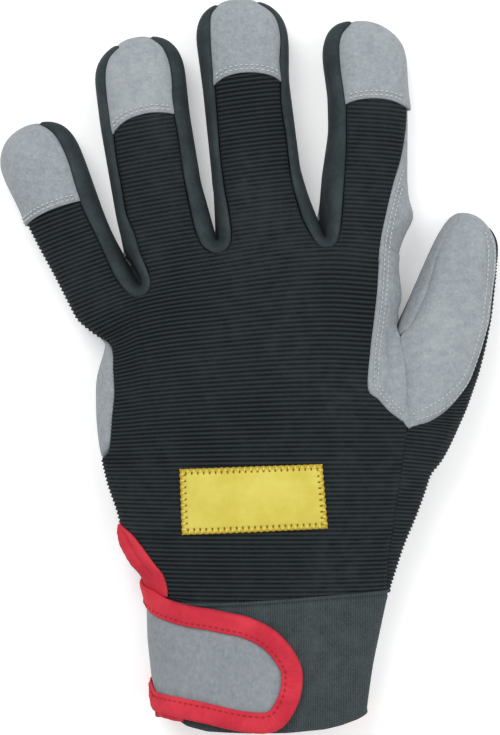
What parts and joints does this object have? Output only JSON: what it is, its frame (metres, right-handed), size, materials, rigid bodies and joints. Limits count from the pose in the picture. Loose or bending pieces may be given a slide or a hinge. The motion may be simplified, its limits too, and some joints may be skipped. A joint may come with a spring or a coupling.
{
  "type": "assembly glove",
  "caption": "Left-hand work glove in its filled form: ribbed stretch back, grey suede palm, fingertip caps, elastic cuff and a red-edged closing strap.",
  "frame": {"origin": "centre of the bounding box at the underside of the palm, where the glove lies", "axes": "+Y from the wrist to the fingertips, +X to the thumb side, +Z out of the back of the hand"},
  "size_m": [0.1708, 0.2514, 0.0354],
  "materials": {
    "suede": "matte synthetic suede",
    "strap_leather": "matte synthetic suede",
    "ribbed_fabric": "ribbed stretch fabric",
    "side_fabric": "smooth stretch fabric",
    "woven_elastic": "woven elastic",
    "binding_tape": "matte edge binding",
    "hook_tape": "hook tape",
    "label_cloth": "woven label cloth"
  },
  "bodies": {
    "root": {"palm_panel": "suede", "back_panel": "ribbed_fabric", "thumb_back_panel": "ribbed_fabric", "thumb_top_panel": "suede", "thumb_under_panel": "suede", "tip_cap_little": "suede", "tip_cap_ring": "suede", "tip_cap_middle": "suede", "tip_cap_index": "suede", "fourchette_little_ring": "side_fabric", "fourchette_ring_middle": "side_fabric", "fourchette_middle_index": "side_fabric", "cuff_band": "woven_elastic", "slit_binding": "binding_tape", "hem_binding": "binding_tape", "strap": "strap_leather", "strap_binding": "binding_tape", "hook_patch": "hook_tape", "label": "label_cloth"}
  },
  "joints": []
}
